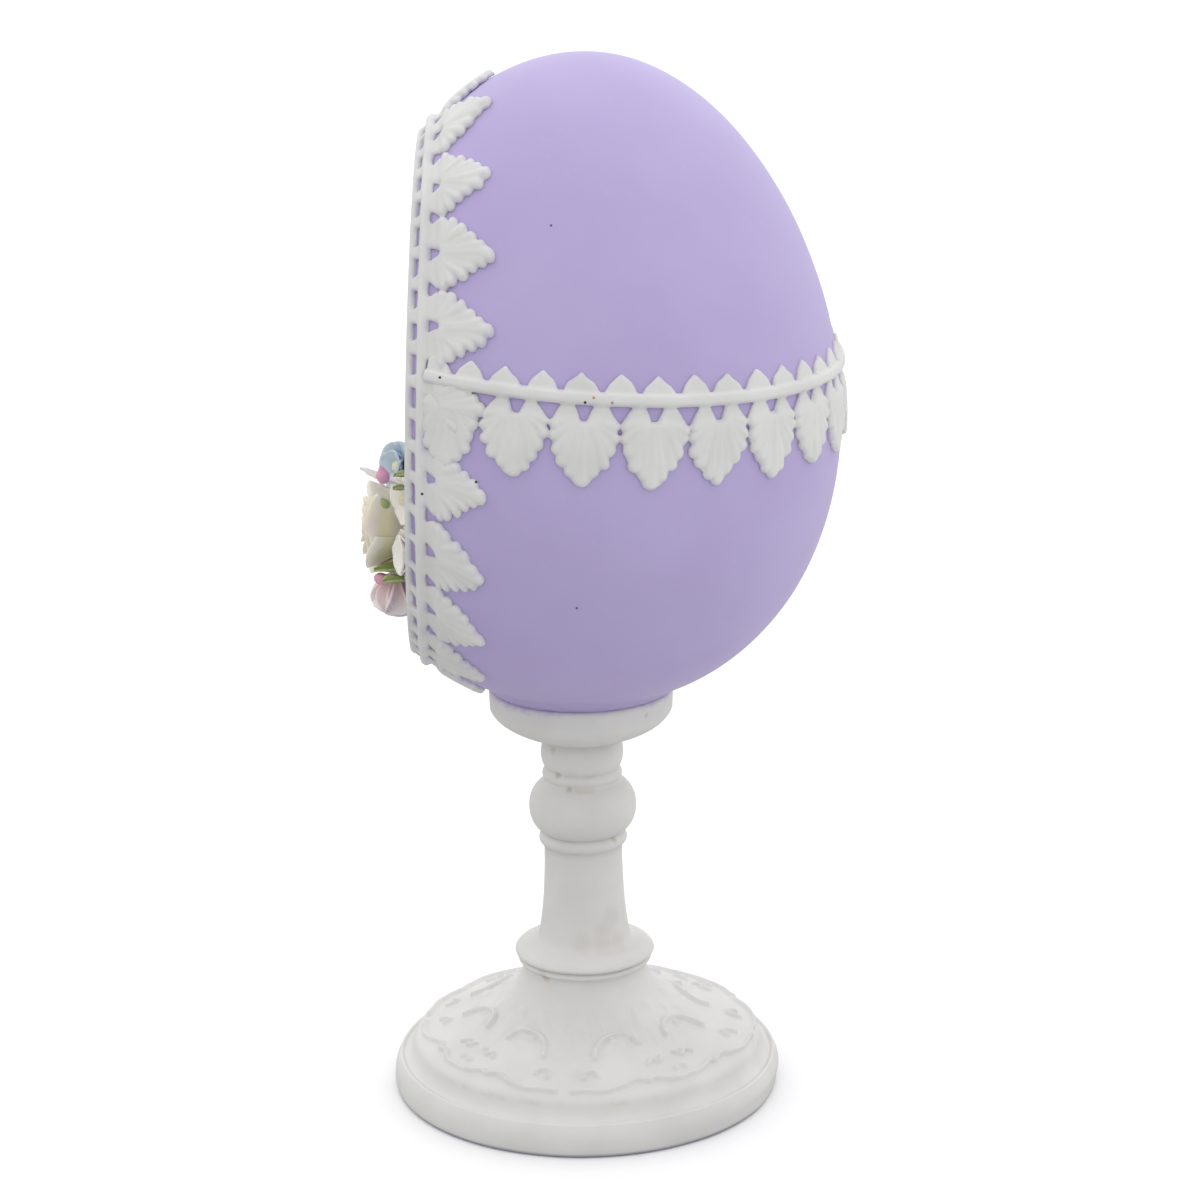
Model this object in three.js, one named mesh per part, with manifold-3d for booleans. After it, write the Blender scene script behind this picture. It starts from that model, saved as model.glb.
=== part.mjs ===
// A tall lilac sugar egg on a white turned pedestal: moulded icing lace round its
// flat front and round its middle, and a spray of icing flowers on the front.
// Millimetres, +Z up. The origin is the centre of the foot's underside, the flat
// front of the egg faces -Y.

import * as THREE from 'three';
import { mergeVertices } from 'three/addons/utils/BufferGeometryUtils.js';
import Module from 'manifold-3d';

const wasm = await Module();
wasm.setup();

// ---- Driving dimensions -------------------------------------------------------

const GAP = 0.3;                     // clearance between neighbouring pieces

// Egg: an oval that is fuller below its middle, leaning a little back. Its round
// sections slip back towards its bottom.
const EGG_HALF_LENGTH = 74;
const EGG_GIRTH_RADIUS = 59;
const EGG_SKEW = 0.125;
const EGG_SLIP = 0.0234;
const EGG_SLIP_MIDDLE = 0.6;
const EGG_CENTRE_HEIGHT = 169.4;
const EGG_LEAN_BACK = THREE.MathUtils.degToRad(4.8);
const EGG_LEAN_SIDE = THREE.MathUtils.degToRad(2.1);
const EGG_SEGMENTS = 32;
const EGG_RINGS = 20;

// Flat front of the egg, measured from the egg's axis.
const FRONT_DEPTH = 35.2;
const FRONT_TILT = THREE.MathUtils.degToRad(3);
const FRONT_OVAL_CENTRE = -5.5;

// Lace: a raised ridge with palmette leaves on one side and small teeth on the
// other, round the front edge and round the egg's middle.
const LACE_THICKNESS = 1.1;
const TOOTH_THICKNESS = 0.8;
const FRONT_RIDGE_DEPTH = 32.4;
const FRONT_RIDGE_WIDTH = 2.4;
const FRONT_RIDGE_HEIGHT = 1.9;
const FRONT_LEAF_COUNT = 22;
const FRONT_LEAF_LENGTH = 16.2;
const FRONT_LEAF_START = 114;        // arc length from the bottom to one leaf's middle
const FRONT_TOOTH_COUNT = 49;
const RIM_WIDTH = 1.9;
const RIM_HEIGHT = 1.4;
const BELT_HEIGHT = 10.9;            // above the middle of the egg's axis
const BELT_RIDGE_WIDTH = 2.9;
const BELT_RIDGE_HEIGHT = 1.9;
const BELT_LEAF_PITCH = THREE.MathUtils.degToRad(14.4);
const BELT_LEAF_OFFSET = THREE.MathUtils.degToRad(3);
const BELT_LEAVES_EACH_WAY = 7;
const BELT_LEAF_LENGTH = 18;
const BELT_TOOTH_PITCH = THREE.MathUtils.degToRad(8.12);
const BELT_TOOTH_OFFSET = THREE.MathUtils.degToRad(0.9);
const BELT_TEETH_EACH_WAY = 14;
const BELT_TOOTH_LENGTH = 4.8;
const BELT_SEGMENTS = 36;
const RIDGE_CREST = 0.55;            // width of a ridge's top, of its foot
const RIDGE_SINK = 0.1;              // how far a ridge's foot lies below the leaves

// Pedestal: foot, stem and cup, turned on one axis.
const PEDESTAL_SEGMENTS = 32;
const FOOT_RADIUS = 45.4;
const FOOT_BAND_HEIGHT = 7.3;
const DOME_RADIUS = 39.3;
const DOME_START = 12.6;
const DOME_TOP_RADIUS = 14.4;
const DOME_TOP = 30.4;
const COLLAR_RADIUS = 15.9;
const COLLAR_TOP = 35.6;
const STEM_FOOT_RADIUS = 11.3;
const STEM_NECK_RADIUS = 9.1;
const STEM_TOP = 59.6;
const LOWER_RING_TOP = 62.8;
const LOWER_RING_RADIUS = 10.2;
const BALL_RADIUS = 12.5;
const BALL_TOP = 75.2;
const UPPER_RING_TOP = 78.4;
const UPPER_RING_RADIUS = 9.3;
const BEAD_TOP = 85.7;
const BEAD_RADIUS = 9.5;
const NECK_RADIUS = 8.5;
const CUP_RADIUS = 21.2;
const CUP_SIDE_START = 93.2;
const CUP_TOP = 97.9;

// Flower spray, placed on the front face: across, up and out from the face.
const SPRAY_HEIGHT = -33.4;

const COLOURS = {
  white: '#e9e8e4',
  lilac: '#b9a9da',
  cream: '#f0e7c8',
  blue: '#a9c3d9',
  pink: '#efa5bb',
  blush: '#ecd6dd',
  green: '#a9c078',
};

// ---- Solids -------------------------------------------------------------------

function toSolid(geometry) {
  const bare = geometry.clone();
  bare.deleteAttribute('normal');
  bare.deleteAttribute('uv');
  const merged = mergeVertices(bare, 1e-4);
  return new wasm.Manifold(new wasm.Mesh({
    numProp: 3,
    vertProperties: new Float32Array(merged.attributes.position.array),
    triVerts: new Uint32Array(merged.index.array),
  }));
}

function toGeometry(solid) {
  const { vertProperties, triVerts } = solid.getMesh();
  const geometry = new THREE.BufferGeometry();
  geometry.setAttribute('position', new THREE.BufferAttribute(vertProperties, 3));
  geometry.setIndex(new THREE.BufferAttribute(triVerts, 1));
  geometry.computeVertexNormals();
  return geometry;
}

function warp(geometry, place) {
  const { position, uv } = geometry.attributes;
  for (let i = 0; i < position.count; i++) {
    const to = place(
      new THREE.Vector3().fromBufferAttribute(position, i),
      new THREE.Vector2().fromBufferAttribute(uv, i),
    );
    position.setXYZ(i, to.x, to.y, to.z);
  }
  return geometry;
}

function turned(profile, segments) {
  return new THREE.LatheGeometry(profile, segments).rotateX(Math.PI / 2);
}

// ---- Egg surface --------------------------------------------------------------

const eggFrame = new THREE.Group();
eggFrame.position.z = EGG_CENTRE_HEIGHT;
eggFrame.rotation.set(-EGG_LEAN_BACK, EGG_LEAN_SIDE, 0);
eggFrame.updateMatrixWorld();

function eggRadius(z) {
  const level = THREE.MathUtils.clamp(z / EGG_HALF_LENGTH, -1, 1);
  return EGG_GIRTH_RADIUS * Math.sqrt(1 - level * level) * (1 - EGG_SKEW * level);
}

function eggSlip(z) {
  return EGG_SLIP_MIDDLE - EGG_SLIP * z;
}

function eggNormal(point) {
  const step = 0.01;
  const slope = (eggRadius(point.z + step) - eggRadius(point.z - step)) / (2 * step);
  const back = point.y - eggSlip(point.z);
  const across = Math.hypot(point.x, back);
  const rise = EGG_SLIP * back / across - slope;
  return new THREE.Vector3(point.x / across, back / across, rise).normalize();
}

function raised(point, height) {
  return point.clone().addScaledVector(eggNormal(point), GAP + height);
}

function eggSolid(clearance) {
  const profile = [];
  for (let i = 0; i <= EGG_RINGS; i++) {
    const turn = Math.PI * (1 - i / EGG_RINGS);
    const z = EGG_HALF_LENGTH * Math.cos(turn);
    const stretch = 1 + clearance / EGG_GIRTH_RADIUS;
    const onAxis = i === 0 || i === EGG_RINGS;
    profile.push(new THREE.Vector2(onAxis ? 0 : eggRadius(z) * stretch, z * stretch));
  }
  return toSolid(warp(turned(profile, EGG_SEGMENTS), ({ x, y, z }) => (
    new THREE.Vector3(x, y + eggSlip(z), z))));
}

// ---- Front face: across is +X, up is nearly +Z, out is nearly -Y --------------

const frontAcross = new THREE.Vector3(1, 0, 0);
const frontUp = new THREE.Vector3(0, -Math.sin(FRONT_TILT), Math.cos(FRONT_TILT));
const frontOut = new THREE.Vector3().crossVectors(frontAcross, frontUp);
const frontBasis = new THREE.Matrix4().makeBasis(frontAcross, frontUp, frontOut);

function ovalPoint(angle, depth) {
  const start = new THREE.Vector3(0, FRONT_OVAL_CENTRE, depth).applyMatrix4(frontBasis);
  const ray = new THREE.Vector3(Math.cos(angle), Math.sin(angle), 0).applyMatrix4(frontBasis);
  const point = new THREE.Vector3();
  let inside = 0;
  let outside = 2 * EGG_HALF_LENGTH;
  for (let i = 0; i < 40; i++) {
    const middle = (inside + outside) / 2;
    point.copy(start).addScaledVector(ray, middle);
    if (Math.hypot(point.x, point.y - eggSlip(point.z)) < eggRadius(point.z)) inside = middle;
    else outside = middle;
  }
  return point;
}

// The ridge's oval, measured by arc length from its lowest point.
const OVAL_SAMPLES = 720;
const ovalArcs = [0];
for (let i = 1; i <= OVAL_SAMPLES; i++) {
  const [from, to] = [i - 1, i].map((k) => ovalPoint(ovalAngle(k), FRONT_RIDGE_DEPTH));
  ovalArcs.push(ovalArcs[i - 1] + from.distanceTo(to));
}
const OVAL_LENGTH = ovalArcs[OVAL_SAMPLES];

function ovalAngle(sample) {
  return -Math.PI / 2 + (2 * Math.PI * sample) / OVAL_SAMPLES;
}

function angleAtArc(arc) {
  const wrapped = THREE.MathUtils.euclideanModulo(arc, OVAL_LENGTH);
  let sample = 1;
  while (ovalArcs[sample] < wrapped) sample++;
  const [from, to] = [ovalArcs[sample - 1], ovalArcs[sample]];
  return ovalAngle(sample - 1 + (wrapped - from) / (to - from));
}

// A point on the egg, back from the front ridge by a distance along the surface.
function besideFront(arc, back) {
  const angle = angleAtArc(arc);
  const steps = 6;
  let depth = FRONT_RIDGE_DEPTH;
  let point = ovalPoint(angle, depth);
  for (let i = 0; i < steps; i++) {
    const probe = ovalPoint(angle, depth - 0.05);
    depth -= (0.05 / probe.distanceTo(point)) * (back / steps);
    point = ovalPoint(angle, depth);
  }
  return point;
}

// A point on the egg, below the belt by a distance along the surface.
function belowBelt(turn, down) {
  const steps = 6;
  let z = BELT_HEIGHT;
  for (let i = 0; i < steps; i++) {
    const slope = (eggRadius(z - 0.05) - eggRadius(z)) / 0.05;
    z -= down / steps / Math.hypot(1, slope);
  }
  const radius = eggRadius(z);
  return new THREE.Vector3(radius * Math.sin(turn), radius * Math.cos(turn) + eggSlip(z), z);
}

// ---- Lace ---------------------------------------------------------------------

const LEAF_ROWS = 5;
const LEAF_ROOT = 0.66;              // half width at the ridge, of half the pitch
const LEAF_SHOULDER = 0.27;          // where along the leaf it is widest

function leafHalfWidth(along) {
  const toShoulder = along / LEAF_SHOULDER;
  if (toShoulder < 1) return THREE.MathUtils.lerp(LEAF_ROOT, 0.97, toShoulder);
  const rest = (along - LEAF_SHOULDER) / (1 - LEAF_SHOULDER);
  const scallop = 0.08 * Math.cos(Math.PI * LEAF_ROWS * along);
  return Math.sqrt(1 - rest ** 1.7) * (0.84 + scallop) + 0.05;
}

function leaf(place, length, halfPitch) {
  return toSolid(warp(new THREE.BoxGeometry(1, 1, 1, 2, LEAF_ROWS, 1), ({ x, y, z }) => {
    const along = y + 0.5;
    const across = 2 * x * halfPitch * leafHalfWidth(along);
    return raised(place(across, along * length), (z + 0.5) * LACE_THICKNESS);
  }));
}

function tooth(place, base, length) {
  return toSolid(warp(new THREE.BoxGeometry(1, 1, 1), ({ x, y, z }) => {
    const across = x * base * (0.52 - 0.85 * y);
    return raised(place(across, (y + 0.5) * length), (z + 0.5) * TOOTH_THICKNESS);
  }));
}

// A ridge with sloping sides and a flat top. A closed ridge runs right round.
function ridge(place, width, height, segments, closed) {
  const tube = closed
    ? new THREE.TorusGeometry(1, 0.5, 4, segments)
    : new THREE.BoxGeometry(1, 1, 1, 1, segments, 1);
  return toSolid(warp(tube, ({ x, y, z }, uv) => {
    const corner = Math.round(4 * uv.y) % 4;
    const isTop = closed ? corner === 1 || corner === 2 : z > 0;
    const side = closed ? Math.sign(1.5 - corner) : Math.sign(x);
    const along = closed ? uv.x : y;
    const across = (side * width * (isTop ? RIDGE_CREST : 1)) / 2;
    return raised(place(along, across), isTop ? height : -RIDGE_SINK);
  }));
}

function frontLace() {
  const pitch = OVAL_LENGTH / FRONT_LEAF_COUNT;
  const toothPitch = OVAL_LENGTH / FRONT_TOOTH_COUNT;
  const stripWidth = FRONT_DEPTH - FRONT_RIDGE_DEPTH + RIM_WIDTH / 2;
  const segments = 2 * FRONT_LEAF_COUNT;
  const main = (along, back) => besideFront(along * OVAL_LENGTH, back);
  const rim = (along, back) => besideFront(along * OVAL_LENGTH, back - stripWidth);
  let lace = ridge(main, FRONT_RIDGE_WIDTH, FRONT_RIDGE_HEIGHT, segments, true)
    .add(ridge(rim, RIM_WIDTH, RIM_HEIGHT, segments, true));
  for (let i = 0; i < FRONT_LEAF_COUNT; i++) {
    const middle = FRONT_LEAF_START + i * pitch;
    const place = (across, along) => besideFront(middle - across, along);
    lace = lace.add(leaf(place, FRONT_LEAF_LENGTH, pitch / 2));
  }
  for (let i = 0; i < FRONT_TOOTH_COUNT; i++) {
    const middle = (i + 0.5) * toothPitch;
    const place = (across, along) => besideFront(middle + across, -along);
    lace = lace.add(tooth(place, toothPitch, stripWidth));
  }
  return lace;
}

function beltLace() {
  const girth = eggRadius(BELT_HEIGHT);
  const reach = Math.acos(-(FRONT_RIDGE_DEPTH + eggSlip(BELT_HEIGHT)) / girth);
  const main = (along, up) => belowBelt(2 * reach * along, -up);
  let lace = ridge(main, BELT_RIDGE_WIDTH, BELT_RIDGE_HEIGHT, BELT_SEGMENTS, false);
  for (let i = -BELT_LEAVES_EACH_WAY; i <= BELT_LEAVES_EACH_WAY; i++) {
    const turn = BELT_LEAF_OFFSET + i * BELT_LEAF_PITCH;
    const place = (across, along) => belowBelt(turn + across / girth, along);
    lace = lace.add(leaf(place, BELT_LEAF_LENGTH, (girth * BELT_LEAF_PITCH) / 2));
  }
  for (let i = -BELT_TEETH_EACH_WAY; i <= BELT_TEETH_EACH_WAY; i++) {
    const turn = BELT_TOOTH_OFFSET + i * BELT_TOOTH_PITCH;
    const place = (across, along) => belowBelt(turn - across / girth, -along);
    lace = lace.add(tooth(place, girth * BELT_TOOTH_PITCH, BELT_TOOTH_LENGTH));
  }
  return lace;
}

// ---- Pedestal -----------------------------------------------------------------

function addBead(path, height, top, neck, crest) {
  const middle = (height + top) / 2;
  const pull = (4 * (crest - neck)) / 3;
  path.bezierCurveTo(neck + pull, middle - (top - height) / 4, neck + pull,
    middle + (top - height) / 4, neck, top);
}

function pedestalProfile() {
  const path = new THREE.Path();
  path.moveTo(0, 0);
  path.lineTo(FOOT_RADIUS - 0.6, 0);
  path.lineTo(FOOT_RADIUS, 0.8);
  path.lineTo(FOOT_RADIUS, 2.6);
  path.quadraticCurveTo(FOOT_RADIUS - 0.2, FOOT_BAND_HEIGHT - 0.8,
    FOOT_RADIUS - 1.9, FOOT_BAND_HEIGHT);
  path.quadraticCurveTo(DOME_RADIUS + 2.8, FOOT_BAND_HEIGHT + 2, DOME_RADIUS, DOME_START);
  path.quadraticCurveTo(DOME_RADIUS - 15, DOME_START + 9, DOME_TOP_RADIUS, DOME_TOP);
  addBead(path, DOME_TOP, COLLAR_TOP, DOME_TOP_RADIUS - 1, COLLAR_RADIUS);
  path.lineTo(STEM_FOOT_RADIUS, COLLAR_TOP + 0.3);
  path.quadraticCurveTo(STEM_NECK_RADIUS - 0.2, COLLAR_TOP + 9, STEM_NECK_RADIUS, STEM_TOP);
  addBead(path, STEM_TOP, LOWER_RING_TOP, STEM_NECK_RADIUS + 0.2, LOWER_RING_RADIUS);
  addBead(path, LOWER_RING_TOP, BALL_TOP, STEM_NECK_RADIUS, BALL_RADIUS);
  addBead(path, BALL_TOP, UPPER_RING_TOP, NECK_RADIUS, UPPER_RING_RADIUS);
  addBead(path, UPPER_RING_TOP, BEAD_TOP, NECK_RADIUS, BEAD_RADIUS);
  path.quadraticCurveTo(CUP_RADIUS - 3.2, BEAD_TOP + 2, CUP_RADIUS, CUP_SIDE_START);
  path.lineTo(CUP_RADIUS, CUP_TOP - 0.8);
  path.lineTo(CUP_RADIUS - 0.7, CUP_TOP);
  path.lineTo(0, CUP_TOP);
  return path.getPoints(3);
}

function pedestal() {
  const seat = eggSolid(GAP).transform(eggFrame.matrixWorld.toArray());
  return toSolid(turned(pedestalProfile(), PEDESTAL_SEGMENTS)).subtract(seat);
}

// ---- Egg and lace -------------------------------------------------------------

function block(width, depth, height, centre, basis) {
  const geometry = new THREE.BoxGeometry(width, depth, height);
  geometry.translate(centre.x, centre.y, centre.z);
  return toSolid(basis ? geometry.applyMatrix4(basis) : geometry);
}

function egg() {
  const size = 4 * EGG_HALF_LENGTH;
  const centre = new THREE.Vector3(0, 0, FRONT_DEPTH + size / 2);
  return eggSolid(0).subtract(block(size, size, size, centre, frontBasis));
}

// The lowest leaves end where they meet the pedestal's cup.
function cupClearance() {
  const radius = CUP_RADIUS + GAP;
  const height = 30;
  const can = new THREE.CylinderGeometry(radius, radius, height, PEDESTAL_SEGMENTS);
  can.rotateX(Math.PI / 2).translate(0, 0, CUP_TOP + GAP - height / 2);
  can.applyMatrix4(eggFrame.matrixWorld.clone().invert());
  return toSolid(can);
}

function lace() {
  return frontLace().add(beltLace()).subtract(cupClearance());
}

// ---- Flowers: each is placed by across, up and out from the front face ---------

function facing(geometry, { across, up, out = GAP, tiltUp = 0, tiltSide = 0 }) {
  const [lift, swing] = [tiltUp, tiltSide].map(THREE.MathUtils.degToRad);
  geometry.applyMatrix4(new THREE.Matrix4().makeRotationFromEuler(
    new THREE.Euler(-lift, swing, 0)));
  geometry.translate(across, up, FRONT_DEPTH + out);
  return geometry.applyMatrix4(frontBasis);
}

// A blossom's outline runs round its back, over the petals' edge and into its cup.
function blossom({ radius, petals, cup, core, sides = 20 }) {
  const back = 0.9;
  const outline = [[0, 0], [0.5, 0.1], [0.97, back], [1, back + 0.7], [0.72, back + 0.8],
    [0.4, back + 0.7], [0.3, back + core], [0, back + core + 0.5]];
  const profile = outline.map(([reach, z]) => new THREE.Vector2(reach, z));
  return warp(turned(profile, sides), ({ x, y, z }) => {
    const reach = Math.hypot(x, y);
    const lobe = Math.abs(Math.cos((petals * Math.atan2(y, x)) / 2));
    const spread = radius * (1 - 0.3 * reach * (1 - lobe));
    return new THREE.Vector3(x * spread, y * spread, z + cup * reach ** 2 * (0.6 + 0.4 * lobe));
  });
}

// A full rose: a round cup of overlapping petals, rippled towards its open middle.
function rose({ radius, height, sides = 25 }) {
  const outline = [[0, 0], [0.55, 0], [0.9, 0.3], [1, 0.62], [0.93, 0.86], [0.74, 1],
    [0.6, 0.84], [0.48, 1.02], [0.34, 0.86], [0.2, 1], [0, 0.88]];
  const profile = outline.map(([reach, z]) => new THREE.Vector2(reach, z));
  return warp(turned(profile, sides), ({ x, y, z }) => {
    const swirl = Math.atan2(y, x) * 5 + Math.hypot(x, y) * 6;
    const spread = radius * (1 + 0.06 * Math.sin(swirl));
    return new THREE.Vector3(x * spread, y * spread, z * height * (1 + 0.05 * Math.cos(swirl)));
  });
}

function bud({ radius }) {
  return new THREE.SphereGeometry(radius, 8, 6).scale(1, 1, 1.15);
}

function greenLeaf({ length, width, droop }) {
  const thickness = 0.7;
  return warp(new THREE.BoxGeometry(1, 1, 1, 2, 6, 1), ({ x, y, z }) => {
    const along = y + 0.5;
    const half = width * (0.12 + 0.88 * Math.sin(Math.PI * along ** 0.8) ** 0.8);
    const wave = 0.3 * Math.cos(4 * Math.PI * along) * Math.abs(2 * x) - droop * along ** 2;
    return new THREE.Vector3(-x * half, z * thickness + wave, along * length);
  });
}

const FLOWERS = [
  ['cream_rose', COLOURS.cream, rose({ radius: 8, height: 10.8 }),
    { across: 3, up: SPRAY_HEIGHT }],
  ['blue_flower', COLOURS.blue, blossom({ radius: 6.4, petals: 5, cup: 2.4, core: 1.2 }),
    { across: 1, up: SPRAY_HEIGHT + 15.5, tiltUp: 10, out: 1.6 }],
  ['white_flower', COLOURS.white, blossom({ radius: 5.6, petals: 5, cup: 2, core: 1 }),
    { across: 18, up: SPRAY_HEIGHT - 2.8, out: 1.6 }],
  ['pink_flower', COLOURS.blush, blossom({ radius: 6.6, petals: 6, cup: 2.2, core: 1.2 }),
    { across: 3.5, up: SPRAY_HEIGHT - 15.4, tiltUp: -26, out: 3.2 }],
  ['blush_flower', COLOURS.pink, blossom({ radius: 6.8, petals: 5, cup: 2.4, core: 1.2 }),
    { across: -12.8, up: SPRAY_HEIGHT + 1.4, out: 1.6 }],
  ['small_white_flower', COLOURS.white, blossom({ radius: 5.6, petals: 5, cup: 5, core: 1 }),
    { across: 14, up: SPRAY_HEIGHT + 10.6, out: 2.4 }],
  ['upper_leaf', COLOURS.green, greenLeaf({ length: 5, width: 4, droop: -0.6 }),
    { across: 20.3, up: SPRAY_HEIGHT + 16.2 }],
  ['lower_leaf', COLOURS.green, greenLeaf({ length: 8.5, width: 5, droop: 0.2 }),
    { across: 11, up: SPRAY_HEIGHT - 8 }],
  ['side_leaf', COLOURS.green, greenLeaf({ length: 7, width: 5, droop: 1.2 }),
    { across: 14.2, up: SPRAY_HEIGHT - 10, tiltSide: 55, out: 1.8 }],
  ['upper_bud', COLOURS.pink, bud({ radius: 1.5 }),
    { across: 20.6, up: SPRAY_HEIGHT + 16.8, out: 7.4 }],
  ['middle_bud', COLOURS.green, bud({ radius: 1.2 }),
    { across: 21, up: SPRAY_HEIGHT + 7.8, out: 5.9 }],
  ['lower_bud', COLOURS.pink, bud({ radius: 1.4 }),
    { across: 11, up: SPRAY_HEIGHT - 10.7, out: 8.3 }],
];

// ---- Assembly -----------------------------------------------------------------

function piece(name, colour, geometry, roughness = 0.8) {
  const material = new THREE.MeshStandardMaterial({ color: colour, roughness, metalness: 0 });
  const mesh = new THREE.Mesh(geometry, material);
  mesh.name = name;
  return mesh;
}

const sugarEgg = new THREE.Group();
sugarEgg.add(piece('pedestal', COLOURS.white, toGeometry(pedestal())), eggFrame);
eggFrame.add(
  piece('egg', COLOURS.lilac, toGeometry(egg()), 0.6),
  piece('lace', COLOURS.white, toGeometry(lace())),
);
for (const [name, colour, geometry, pose] of FLOWERS) {
  eggFrame.add(piece(name, colour, facing(geometry, pose)));
}

export default sugarEgg;
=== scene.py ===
import math

import bpy
import numpy as np
from mathutils import Matrix


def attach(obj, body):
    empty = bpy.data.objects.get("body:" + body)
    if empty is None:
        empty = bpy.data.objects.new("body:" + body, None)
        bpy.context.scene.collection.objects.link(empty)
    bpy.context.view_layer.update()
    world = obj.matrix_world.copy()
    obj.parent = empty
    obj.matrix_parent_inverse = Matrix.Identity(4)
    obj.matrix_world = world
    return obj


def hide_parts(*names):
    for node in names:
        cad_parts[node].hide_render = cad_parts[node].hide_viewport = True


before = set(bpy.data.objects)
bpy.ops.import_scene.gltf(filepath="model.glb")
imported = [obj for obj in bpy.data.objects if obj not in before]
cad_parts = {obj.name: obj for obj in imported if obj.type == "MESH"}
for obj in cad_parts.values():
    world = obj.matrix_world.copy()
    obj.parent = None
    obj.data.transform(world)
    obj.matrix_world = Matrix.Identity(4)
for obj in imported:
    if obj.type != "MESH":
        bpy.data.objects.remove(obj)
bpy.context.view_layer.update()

# Working units are millimetres; a mesh is written in metres.
MM = 0.001

# ---- Driving dimensions, as in the part's source ----

EGG_HALF_LENGTH = 74
EGG_GIRTH_RADIUS = 59
EGG_SKEW = 0.125
EGG_SLIP = 0.0234
EGG_SLIP_MIDDLE = 0.6
EGG_CENTRE = np.array([0, 0, 169.4])
EGG_LEAN_BACK = 4.8                  # in degrees, as is the lean to the side
EGG_LEAN_SIDE = 2.1

FRONT_DEPTH = 35.2
FRONT_TILT = math.radians(3)
FRONT_OVAL_CENTRE = -5.5
FRONT_RIDGE_DEPTH = 32.4
FRONT_RIDGE_WIDTH = 2.0
FRONT_LEAF_COUNT = 22
FRONT_LEAF_LENGTH = 16.2
FRONT_LEAF_START = 114
FRONT_GAP_COUNT = 49
RIM_WIDTH = 1.5
STRIP_WIDTH = FRONT_DEPTH - FRONT_RIDGE_DEPTH + RIM_WIDTH / 2

BELT_HEIGHT = 10.9
BELT_RIDGE_WIDTH = 2.9
BELT_LEAF_PITCH = math.radians(14.4)
BELT_LEAF_OFFSET = math.radians(3)
BELT_LEAF_LENGTH = 18
BELT_TOOTH_PITCH = math.radians(8.12)
BELT_TOOTH_OFFSET = math.radians(0.9)
BELT_TOOTH_LENGTH = 4.8

FOOT_RADIUS = 45.4
DOME_RADIUS = 39.3
DOME_START = 12.6
DOME_TOP_RADIUS = 14.4
DOME_TOP = 30.4
COLLAR_RADIUS = 15.9
COLLAR_TOP = 35.6
STEM_FOOT_RADIUS = 11.3
STEM_NECK_RADIUS = 9.1
STEM_TOP = 59.6
LOWER_RING_TOP = 62.8
BALL_TOP = 75.2
UPPER_RING_TOP = 78.4
BEAD_TOP = 85.7
CUP_RADIUS = 21.2
CUP_SIDE_START = 93.2
CUP_TOP = 97.9

SPRAY_HEIGHT = -33.4


# ---- Meshes ----

def put(name, data):
    """A new object in the scene."""
    thing = bpy.data.objects.new(name, data)
    bpy.context.scene.collection.objects.link(thing)
    return thing


def build(name, points, faces, replaced, material, attributes=None):
    """One piece of the object, from points in millimetres."""
    mesh = bpy.data.meshes.new(name)
    mesh.from_pydata((np.asarray(points) * MM).tolist(), [], faces)
    mesh.validate()
    for key, values in (attributes or {}).items():
        layer = mesh.attributes.new(key, "FLOAT", "POINT")
        layer.data.foreach_set("value", np.asarray(values, np.float32))
    mesh.polygons.foreach_set("use_smooth", [True] * len(mesh.polygons))
    mesh.materials.append(material)
    piece = put(name, mesh)
    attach(piece, "root")
    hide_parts(replaced)


def join(parts):
    """Joins parts, each of points, faces and a value at each point, into one."""
    faces, start = [], 0
    for part in parts:
        faces += [[start + i for i in face] for face in part[1]]
        start += len(part[0])
    return (np.vstack([part[0] for part in parts]), faces,
            np.concatenate([part[2] for part in parts]))


def grid_faces(rows, columns, wrap=False):
    """Quads over a grid of points, row by row."""
    faces = []
    for row in range(rows - 1):
        for column in range(columns if wrap else columns - 1):
            after = (column + 1) % columns
            low, high = row * columns, (row + 1) * columns
            faces.append([low + column, low + after, high + after, high + column])
    return faces


def closed(rings, first, last):
    """A closed solid from rings of points (ring, point, 3) and the pole at each end."""
    count, segments = rings.shape[:2]
    faces = grid_faces(count, segments, wrap=True)
    pole, top = count * segments, (count - 1) * segments
    for i in range(segments):
        after = (i + 1) % segments
        faces.append([pole, after, i])
        faces.append([pole + 1, top + i, top + after])
    return np.vstack([rings.reshape(-1, 3), first, last]), faces


def turned(profile, segments):
    """A closed solid turned round +Z; the profile runs from the axis to the axis."""
    turns = 2 * np.pi * np.arange(segments) / segments
    inner = profile[1:-1]
    rings = np.stack([inner[:, :1] * np.cos(turns), inner[:, :1] * np.sin(turns),
                      np.repeat(inner[:, 1:], segments, 1)], -1)
    return closed(rings, [0, 0, profile[0, 1]], [0, 0, profile[-1, 1]])


def smoothstep(low, high, value):
    part = np.clip((value - low) / (high - low), 0, 1)
    return part * part * (3 - 2 * part)


RIPPLE_WAVES = 7


def ripple(points, scale, seed):
    """Smooth random values between about -1 and 1 over points in millimetres."""
    dice = np.random.default_rng(seed)
    total = np.zeros(points.shape[:-1])
    for _ in range(RIPPLE_WAVES):
        direction = dice.normal(size=points.shape[-1]) * 2 * np.pi / scale
        total += np.sin(points @ direction / 2 + dice.uniform(0, 2 * np.pi))
    return total / math.sqrt(RIPPLE_WAVES / 2) / 1.6


def tilt(back, side):
    """A turn to the side about +Y, then back about +X, in degrees."""
    return np.array(Matrix.Rotation(-math.radians(back), 3, "X")
                    @ Matrix.Rotation(math.radians(side), 3, "Y"))


# ---- Egg surface ----

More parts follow.
